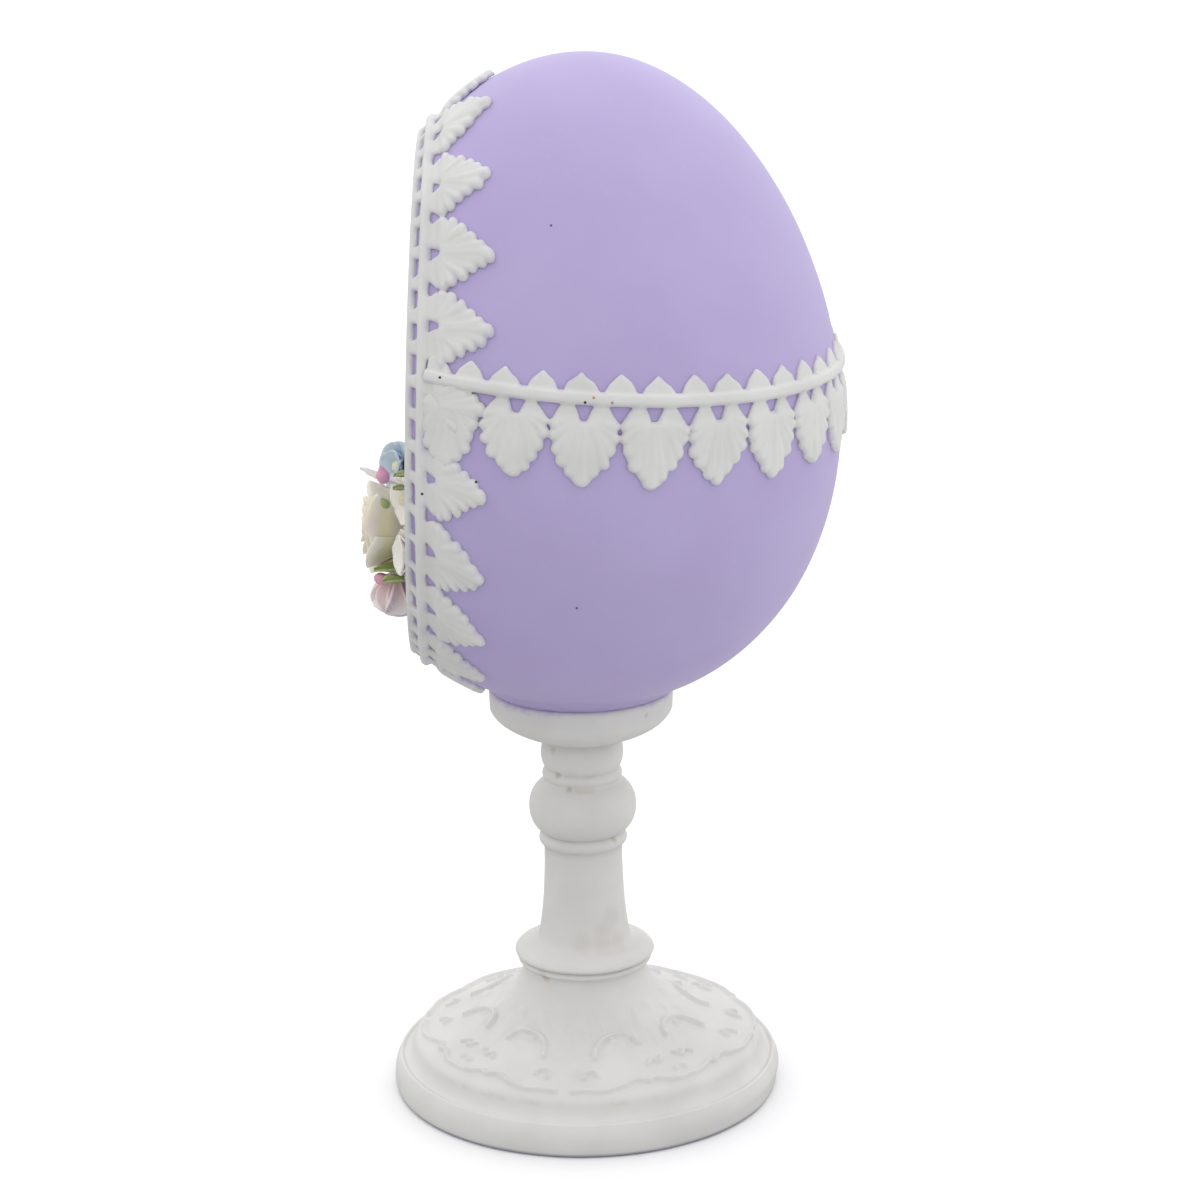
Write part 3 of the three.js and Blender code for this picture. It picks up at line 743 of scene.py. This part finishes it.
def pedestal(material):
    points, faces = turned(foot_profile(), 512)
    reach = np.hypot(points[:, 0], points[:, 1]) + 1e-9
    angle = np.degrees(np.arctan2(points[:, 1], points[:, 0]))
    on_dome = (points[:, 2] > DOME_START - 0.1) & (points[:, 2] < DOME_TOP)
    height = np.where(on_dome, dome_relief(angle, reach), 0)
    z = points[:, 2]
    swell = LOW_SWELL * smoothstep(2, 5, z) * smoothstep(18, 15, z)
    shoulder = SHOULDER_SWELL * np.exp(-((z - SHOULDER_HEIGHT) / 1.8) ** 2)
    swell += shoulder * smoothstep(DOME_START - 1, DOME_START + 1, z)
    points[:, 1] += swell * np.clip(np.cos(np.radians(angle - SWELL_WAY)), 0, 1) ** 2
    outward = np.stack([points[:, 0] / reach * 0.55, points[:, 1] / reach * 0.55,
                        0 * reach + 0.83], 1)
    cast_piece("pedestal_foot", points + outward * height[:, None], faces, material)
    points, faces = turned(stem_profile(), 320)
    cast_piece("pedestal_stem", points, faces, material)


# ---- Flowers: each is placed by across, up and out from the front face ----

def facing(points, across, up, out=0.3, tilt_up=0, tilt_side=0):
    local = points @ tilt(tilt_up, tilt_side).T + np.array([across, up, FRONT_DEPTH + out])
    return place_egg(local @ FACE_BASIS)


def sheet(grid, thickness):
    """A thin closed solid from a grid of points (rows, columns, 3)."""
    down = np.gradient(grid, axis=0)
    over = np.gradient(grid, axis=1)
    normal = np.cross(over, down)
    normal /= np.linalg.norm(normal, axis=-1, keepdims=True) + 1e-9
    rows, columns = grid.shape[:2]
    front = (grid + normal * thickness / 2).reshape(-1, 3)
    back = (grid - normal * thickness / 2).reshape(-1, 3)
    total = len(front)
    faces = [face[::-1] for face in grid_faces(rows, columns)]
    faces += [[total + i for i in reversed(face)] for face in faces]
    order = np.arange(rows * columns).reshape(rows, columns)
    rim = [*order[0], *order[1:, -1], *order[-1, -2::-1], *order[-2:0:-1, 0]]
    rim = np.array(rim).tolist()
    for a, b in zip(rim, rim[1:] + rim[:1]):
        faces.append([a, b, b + total, a + total])
    return np.vstack([front, back]), faces


def places(rows, columns):
    """From 0 to 1 along a sheet, and from -1 to 1 across it."""
    return np.linspace(0, 1, rows)[:, None], np.linspace(-1, 1, columns)[None]


def wave(u, dice):
    phase = dice.uniform(0, 6, 2)
    return np.sin(4 * u + phase[0]) + 0.5 * np.sin(8 * u + phase[1])


PETAL_THICKNESS = 0.5
PETAL_OVERLAP = 1.25


def petal(length, width, lift, curl, cup, ruffle, dice):
    """A petal along +Y from the origin. Lift and curl are angles; cup bends it across."""
    v, u = places(14, 17)
    half = width / 2 * (0.28 + 0.72 * np.sin(np.pi * (0.08 + 0.62 * v)) ** 1.2)
    tip = 1 - 0.36 * (1 - np.sqrt(1 - (0.95 * u) ** 2))
    edge = ruffle * v ** 2 * wave(u, dice)
    turn = lift + curl * v ** 1.5 + 0 * u
    step = np.diff(np.concatenate([0 * v[:1], v]), axis=0) * length * tip
    y = np.cumsum(np.cos(turn) * step, axis=0)
    z = np.cumsum(np.sin(turn) * step, axis=0)
    x = half * u
    lifted = cup * u ** 2 * (0.3 + 0.7 * v) + edge
    grid = np.stack([x + 0 * y, y - np.sin(turn) * lifted, z + np.cos(turn) * lifted], -1)
    points, faces = sheet(grid, PETAL_THICKNESS)
    return points, faces, np.tile((v + 0 * u).ravel(), 2)


def spin(part, angle):
    turn = np.array(Matrix.Rotation(angle, 3, "Z"))
    return (part[0] @ turn.T, *part[1:])


def move(part, offset):
    return (part[0] + np.asarray(offset, float), *part[1:])


def ball(radius, centre=(0, 0, 0), stretch=1.0, segments=20, value=0.0):
    turn = np.linspace(np.pi, 0, 13)
    profile = np.stack([radius * np.sin(turn), stretch * radius * np.cos(turn)], 1)
    points, faces = turned(profile, segments)
    return points + np.asarray(centre, float), faces, np.full(len(points), value)


def blossom(radius, petals, lift, curl, cup, ruffle, dice, layers=2):
    """Overlapping ruffled petals round a button of little knobs."""
    parts = []
    for layer in range(layers):
        size = radius * (1 - 0.22 * layer)
        width = 2 * size * math.sin(math.pi / petals) * PETAL_OVERLAP
        for i in range(petals):
            one = petal(size * dice.uniform(0.93, 1.06), width,
                        lift + 0.35 * layer + dice.normal() * 0.07, curl, cup, ruffle, dice)
            one = move(one, (0, 0.4, 0.25 * (i % 2) + 0.8 * layer))
            parts.append(spin(one, 2 * math.pi * (i + 0.5 * layer) / petals + dice.normal() * 0.05))
    parts.append(ball(1.5, (0, 0, 1.6), 0.8, value=-1.0))
    for i in range(9):
        turn = i * 2.4
        reach = 0.32 * math.sqrt(i)
        parts.append(ball(0.34, (reach * math.cos(turn), reach * math.sin(turn), 2.6 - 0.3 * reach),
                          segments=8, value=-1.0))
    return parts


def rose(radius, height, dice):
    """A full rose: rings of cupped petals, tight and upright inside, open outside."""
    parts = [ball(radius * 0.62, (0, 0, height * 0.3), 0.5)]
    for layer in range(6):
        part = layer / 5
        count = (3, 4, 5, 5, 6, 6)[layer]
        foot = radius * (0.1 + 0.45 * part)
        rim = radius * (0.2 + 0.76 * part)
        top = height * (1 - 0.12 * part ** 2)
        base = height * (0.42 - 0.34 * part)
        for i in range(count):
            v, u = places(15, 23)
            spread = math.pi / count * dice.uniform(1.25, 1.5)
            edge = wave(u, dice)
            rise = v * (1 - 0.2 * u ** 2) + 0.01 * edge * v ** 3
            reach = foot + (rim - foot) * np.sin(v * 1.35) / math.sin(1.35)
            flare = smoothstep(0.6, 1, v) * (1 + 0.3 * edge)
            reach = reach + part * 0.13 * radius * flare
            reach = reach + 0.03 * radius * dice.normal() - 0.05 * radius * u
            turn = u * spread * (0.75 + 0.25 * v)
            z = base + (top - base) * rise * dice.uniform(0.94, 1.04)
            grid = np.stack([reach * np.sin(turn), reach * np.cos(turn), z + 0 * turn], -1)
            points, faces = sheet(grid, 0.6)
            tint = smoothstep(0.55, 1, v) * (0.5 + 0.5 * part) + 0 * u
            one = (points, faces, np.tile(tint.ravel(), 2))
            parts.append(spin(one, 2 * math.pi * (i + 0.37 * layer) / count + dice.normal() * 0.08))
    return parts


def green_leaf(length, width, droop):
    """A pointed leaf along +Z with a folded middle and side veins."""
    v, u = places(34, 17)
    half = width / 2 * np.sin(np.pi * np.clip(v, 0.02, 0.985) ** 0.75) ** 0.8
    teeth = 1 + 0.07 * np.sin(2 * np.pi * 9 * v)
    x = half * u * teeth
    vein = 0.1 * np.cos(2 * np.pi * (7 * v - 1.5 * np.abs(u)))
    y = 0.9 * np.abs(u) ** 0.8 * half * 0.5 + vein * (1 - v) + 0.35 * np.sin(7 * v + 3 * u)
    bend = droop * v ** 2
    grid = np.stack([-x, y * 0.6 + bend + 0 * x, v * length + 0 * x], -1)
    points, faces = sheet(grid, 0.4)
    return [(points, faces, np.tile((np.abs(u) + 0 * v).ravel(), 2))]


def bud(radius, stretch, taper):
    """A small bud along +Z, tapering to its tip."""
    points, faces, value = ball(radius, stretch=stretch, value=0.5)
    along = points[:, 2] / (radius * stretch)
    points[:, :2] *= (1 - taper * smoothstep(-0.3, 1.2, along))[:, None]
    swirl = np.arctan2(points[:, 1], points[:, 0]) * 3 + points[:, 2] * 1.5
    points[:, :2] *= (1 + 0.04 * np.sin(swirl))[:, None]
    return [(points, faces, value)]


def flowers(paint):
    """The spray; up is measured from its middle."""
    def flower(node, colour, parts, up, **place):
        points, faces, value = join(parts)
        build(node + "_icing", facing(points, up=SPRAY_HEIGHT + up, **place), faces, node,
              paint[colour], {"petal": value})

    dice = [np.random.default_rng(300 + i) for i in range(6)]
    flower("cream_rose", "cream", rose(9, 12.8, dice[0]), across=3, up=-0.2)
    flower("blue_flower", "blue", blossom(5.6, 5, 0.55, -0.4, 0.7, 0.08, dice[1]),
           across=5, up=14.4, tilt_up=12, tilt_side=38, out=3.6)
    flower("white_flower", "white", blossom(6.2, 5, 0.35, -0.25, 0.7, 0.06, dice[2]),
           across=17, up=-2.6, tilt_side=16, out=0.6)
    flower("pink_flower", "blush", blossom(9.6, 6, 1.3, -0.3, 0.5, 0.6, dice[3]),
           across=6, up=-10.6, tilt_up=-88, out=4.6)
    flower("blush_flower", "pink", blossom(8.4, 5, 0.35, -0.1, 0.6, 0.15, dice[4]),
           across=-12.8, up=1.4, out=1.6)
    tall = move(petal(11.2, 7, 1.05, 0.2, 0.7, 0.1, dice[5]), (-2, 3, 0.8))
    low = blossom(5.6, 5, 0.45, -0.2, 0.6, 0.05, dice[5], layers=1)
    flower("small_white_flower", "white", low + [tall], across=14, up=9.4, tilt_side=24, out=1.6)
    points, faces, value = green_leaf(4.6, 4.2, -0.4)[0]
    sepals = [(points @ tilt(10, 0).T, faces, value),
              move(green_leaf(4.2, 3.2, 0.2)[0], (0.6, -2.6, 0.6))]
    flower("upper_leaf", "green", sepals, across=20.3, up=16.2)
    flower("lower_leaf", "green", green_leaf(9.6, 7, 0.2), across=11, up=-8.4)
    flower("side_leaf", "green", green_leaf(8, 6, 1.2), across=14.2, up=-9.4, tilt_side=40,
           out=1.2)
    flower("upper_bud", "pink", bud(1.55, 1.4, 0.7), across=20.6, up=16.8, out=7.4, tilt_up=75)
    flower("middle_bud", "green", bud(1.0, 1.4, 0.6), across=21, up=10.4, out=6.9, tilt_up=50)
    flower("lower_bud", "pink", bud(1.4, 1.5, -0.1), across=11, up=-10.4, out=7.9, tilt_up=10)


# ---- Materials ----

class Tree:
    """The nodes of a material or of the world."""

    def __init__(self, owner):
        owner.use_nodes = True
        self.nodes, self.links = owner.node_tree.nodes, owner.node_tree.links

    def feed(self, socket, value):
        """Sets a socket to a number or a colour, or links another socket to it."""
        if isinstance(value, tuple):
            socket.default_value = (*value, 1)
        elif isinstance(value, (int, float)):
            socket.default_value = value
        else:
            self.links.new(value, socket)

    def coordinate(self, space):
        return self.nodes.new("ShaderNodeTexCoord").outputs[space]

    def axes(self, space):
        split = self.nodes.new("ShaderNodeSeparateXYZ")
        self.feed(split.inputs["Vector"], self.coordinate(space))
        return split.outputs

    def ramp(self, value, low, high, first=0, last=1, kind="SMOOTHSTEP"):
        node = self.nodes.new("ShaderNodeMapRange")
        node.interpolation_type = kind
        limits = {"From Min": low, "From Max": high, "To Min": first, "To Max": last}
        for name, limit in limits.items():
            node.inputs[name].default_value = limit
        self.feed(node.inputs["Value"], value)
        return node.outputs["Result"]

    def maths(self, operation, first, second):
        node = self.nodes.new("ShaderNodeMath")
        node.operation = operation
        self.feed(node.inputs[0], first)
        self.feed(node.inputs[1], second)
        return node.outputs["Value"]

    def mix(self, factor, first, second):
        node = self.nodes.new("ShaderNodeMix")
        node.data_type = "RGBA"
        for socket, value in ((0, factor), (6, first), (7, second)):
            self.feed(node.inputs[socket], value)
        return node.outputs[2]


class Paint(Tree):
    """A procedural material, laid up in coats over its base colour."""

    def __init__(self, name, roughness, specular, base):
        self.material = bpy.data.materials.new(name)
        super().__init__(self.material)
        self.base = base
        self.shader = self.nodes["Principled BSDF"]
        self.shader.inputs["Roughness"].default_value = roughness
        self.shader.inputs["Specular IOR Level"].default_value = specular
        self.where = self.coordinate("Object")

    def noise(self, size_mm, detail=3.0):
        node = self.nodes.new("ShaderNodeTexNoise")
        node.inputs["Scale"].default_value = 1 / (size_mm * MM)
        node.inputs["Detail"].default_value = detail
        self.feed(node.inputs["Vector"], self.where)
        return node.outputs["Fac"]

    def patches(self, size_mm, low, high):
        return self.ramp(self.noise(size_mm), low, high)

    def attribute(self, name):
        node = self.nodes.new("ShaderNodeAttribute")
        node.attribute_name = name
        return node.outputs["Fac"]

    def vector(self, operation, first, second=None):
        node = self.nodes.new("ShaderNodeVectorMath")
        node.operation = operation
        self.feed(node.inputs[0], first)
        if second is not None:
            node.inputs[1].default_value = tuple(second)
        return node.outputs["Value" if operation == "LENGTH" else "Vector"]

    def spots(self, places, radius_mm):
        """One in a small round spot at each of these points, to a little below the surface."""
        total = None
        for place in places:
            offset = self.vector("SUBTRACT", self.where, np.asarray(place) * MM)
            aside = self.vector("LENGTH", self.vector("CROSS_PRODUCT", offset, SPOT_AXIS))
            near = self.maths(
                "MULTIPLY", self.ramp(aside, radius_mm * 1.3 * MM, radius_mm * 0.6 * MM),
                self.ramp(self.vector("LENGTH", offset), 3.5 * MM, 3 * MM))
            total = near if total is None else self.maths("MAXIMUM", total, near)
        return total

    def coat(self, amount, colour, strength=None):
        """Lays a colour over the base, where the amount is one."""
        if strength is not None:
            amount = self.maths("MULTIPLY", amount, strength)
        self.base = self.mix(amount, self.base, colour)

    def bump(self, size_mm, detail, depth_mm, strength):
        height = self.noise(size_mm, detail)
        node = self.nodes.new("ShaderNodeBump")
        node.inputs["Strength"].default_value = strength
        node.inputs["Distance"].default_value = depth_mm * MM
        self.feed(node.inputs["Height"], height)
        previous = self.shader.inputs["Normal"].links
        if previous:
            self.feed(node.inputs["Normal"], previous[0].from_socket)
        self.feed(self.shader.inputs["Normal"], node.outputs["Normal"])

    def dry(self, *bumps):
        """Adds bumps, each a size, detail, depth and strength, and gives the material."""
        for bump in bumps:
            self.bump(*bump)
        self.feed(self.shader.inputs["Base Color"], self.base)
        return self.material


# Dark specks on the side that shows, and the way that they face.
SPOT_AXIS = (0.963, 0, 0.27)
EGG_SPECKS = [(45.7, -5.0, 212.3), (54.4, -0.7, 132.0)]
LACE_SPECKS = [(50.2, -28.6, 181.2), (56.2, -21.4, 160.2), (49.9, -33.0, 156.2),
               (58.6, 1.6, 177.3)]
BROWN_SPECKS = [(58.4, 3.4, 178.2), (58.4, 7.2, 177.1)]


def lilac_paint():
    paint = Paint("lilac_coat", 0.5, 0.3, (0.45, 0.38, 0.645))
    paint.coat(paint.patches(30, 0.3, 0.7), (0.475, 0.405, 0.675))
    paint.coat(paint.patches(2.2, 0.6, 0.8), (0.53, 0.465, 0.72), 0.25)
    paint.coat(paint.spots(EGG_SPECKS, 0.28), (0.12, 0.08, 0.12))
    return paint.dry((9, 2, 0.25, 0.35), (0.6, 2, 0.02, 0.4))


def lace_paint():
    """White icing, with lilac along its low edges: partly lilac showing through thin icing, partly
    painted shade.
    """
    paint = Paint("white_icing", 0.62, 0.25, (0.66, 0.66, 0.65))
    paint.coat(paint.patches(12, 0.3, 0.7), (0.71, 0.71, 0.70))
    # Lilac tint at the lace's low edges: partly lilac under thin icing, partly painted shade.
    edge = paint.ramp(paint.attribute("edge"), 0.35, 1.0)
    edge = paint.maths("MULTIPLY", edge, paint.patches(5, 0.35, 0.75))
    paint.coat(edge, (0.52, 0.48, 0.66), 0.5)
    paint.coat(paint.spots(LACE_SPECKS, 0.3), (0.02, 0.015, 0.02))
    paint.coat(paint.spots(BROWN_SPECKS, 0.3), (0.4, 0.26, 0.2))
    return paint.dry((2.5, 3, 0.12, 0.4), (0.5, 2, 0.02, 0.4))


def cast_paint():
    """White casting: dirt in its recesses, tan stains, lilac spilt on the cup's edge, and a painted
    shadow along the foot's bottom edge.
    """
    paint = Paint("white_cast", 0.6, 0.28, (0.65, 0.645, 0.625))
    paint.coat(paint.patches(14, 0.3, 0.7), (0.70, 0.695, 0.675))
    dirt = paint.ramp(paint.attribute("recess"), 0.25, 0.9)
    dirt = paint.maths("MULTIPLY", dirt, paint.patches(6, 0.52, 0.72))
    paint.coat(dirt, (0.5, 0.42, 0.32), 0.3)
    paint.coat(paint.attribute("stain"), (0.42, 0.32, 0.23), 0.6)
    spill = paint.maths("MULTIPLY", paint.attribute("spill"), paint.patches(2.5, 0.3, 0.6))
    paint.coat(spill, (0.53, 0.49, 0.68), 0.75)
    # Painted shadow, dark and bluish, along the bottom edge of the foot.
    paint.coat(paint.attribute("painted_bottom_shadow"), (0.3, 0.3, 0.42), 0.7)
    return paint.dry((4, 3, 0.15, 0.35), (0.6, 2, 0.02, 0.4))


def petal_paint(name, deep, pale, heart):
    """Matt petals: deeper towards their foot, and a heart of its own colour."""
    paint = Paint(name, 0.75, 0.15, deep)
    along = paint.attribute("petal")
    paint.coat(paint.ramp(along, 0.05, 0.8), pale)
    between = tuple(0.5 * (a + b) for a, b in zip(deep, pale))
    paint.coat(paint.patches(3, 0.35, 0.75), between)
    paint.coat(paint.ramp(along, -0.3, -0.7), heart)
    return paint.dry((0.8, 3, 0.06, 0.5))


# ---- Camera, floor and light ----

LENS = 94.45
SENSOR_WIDTH = 36
CAMERA_PLACE = (0.696, 0, 0.3144)
CAMERA_PITCH = math.radians(15.722)
CAMERA_ROLL = math.radians(0.748)
CAMERA_YAW = math.radians(0.3645)
SKY_HORIZON = 0.9
SKY_OVERHEAD = 1.33
SKY_BEHIND = 1.3
SKY_BEFORE = 0.82
FLOOR_SEEN = (0.95, 0.95, 0.95)
FLOOR_BLEND = 0.3
FLOOR_BOUNCE_LEFT = 0.4
FLOOR_BOUNCE_RIGHT = 0.74


def camera():
    data = bpy.data.cameras.new("camera")
    data.lens = LENS
    data.sensor_width = SENSOR_WIDTH
    across = np.array([0, 1, 0])
    ahead = np.array([-math.cos(CAMERA_PITCH), 0, -math.sin(CAMERA_PITCH)])
    above = np.array([-math.sin(CAMERA_PITCH), 0, math.cos(CAMERA_PITCH)])
    right = across * math.cos(CAMERA_ROLL) - above * math.sin(CAMERA_ROLL)
    up = above * math.cos(CAMERA_ROLL) + across * math.sin(CAMERA_ROLL)
    forward = ahead * math.cos(CAMERA_YAW) + right * math.sin(CAMERA_YAW)
    side = right * math.cos(CAMERA_YAW) - ahead * math.sin(CAMERA_YAW)
    holder = put("camera", data)
    axes = Matrix([[side[i], up[i], -forward[i]] for i in range(3)]).to_4x4()
    holder.matrix_world = Matrix.Translation(CAMERA_PLACE) @ axes
    bpy.context.scene.camera = holder


def studio():
    mesh = bpy.data.meshes.new("floor")
    mesh.from_pydata([(-20, -20, 0), (20, -20, 0), (20, 20, 0), (-20, 20, 0)], [], [(0, 1, 2, 3)])
    floor = put("floor", mesh)
    mesh.materials.append(floor_paint())
    bpy.context.scene.world = sky()
    bpy.context.scene.view_settings.view_transform = "Standard"


def floor_paint():
    """A pale floor that throws less light back up than it shows."""
    white = bpy.data.materials.new("floor_white")
    tree = Tree(white)
    shader = tree.nodes["Principled BSDF"]
    shader.inputs["Roughness"].default_value = 0.9
    bounce = tree.ramp(tree.axes("Object")["Y"], -FLOOR_BLEND, FLOOR_BLEND,
                       FLOOR_BOUNCE_LEFT, FLOOR_BOUNCE_RIGHT, "LINEAR")
    seen = tree.nodes.new("ShaderNodeLightPath").outputs["Is Camera Ray"]
    tree.feed(shader.inputs["Base Color"], tree.mix(seen, bounce, FLOOR_SEEN))
    return white


def sky():
    """A white sky that is brighter overhead than at the horizon, as a large soft light."""
    world = bpy.data.worlds.new("studio")
    tree = Tree(world)
    axes = tree.axes("Generated")
    level = tree.ramp(axes["Z"], 0, 1, SKY_HORIZON, SKY_OVERHEAD, "LINEAR")
    side = tree.ramp(axes["X"], -1, 1, SKY_BEHIND, SKY_BEFORE, "LINEAR")
    background = tree.nodes["Background"]
    tree.feed(background.inputs["Strength"], tree.maths("MULTIPLY", level, side))
    tree.feed(background.inputs["Color"], (1, 1, 1))
    return world


# ---- Assembly ----

camera()
studio()
lace = lace_paint()
egg(lilac_paint())
front_lace(lace)
belt_lace(lace)
pedestal(cast_paint())
flowers({
    "cream": petal_paint("cream_icing", (0.86, 0.83, 0.52), (0.92, 0.88, 0.78), (0.85, 0.78, 0.4)),
    "blue": petal_paint("blue_icing", (0.44, 0.56, 0.64), (0.58, 0.68, 0.74), (0.8, 0.8, 0.6)),
    "white": petal_paint("white_petal", (0.86, 0.83, 0.76), (0.90, 0.88, 0.82), (0.84, 0.8, 0.62)),
    "blush": petal_paint("blush_icing", (0.88, 0.68, 0.68), (0.90, 0.85, 0.83), (0.8, 0.75, 0.4)),
    "pink": petal_paint("pink_icing", (0.70, 0.28, 0.40), (0.76, 0.46, 0.55), (0.75, 0.7, 0.4)),
    "green": petal_paint("green_icing", (0.25, 0.34, 0.10), (0.42, 0.48, 0.22), (0.3, 0.4, 0.15)),
})
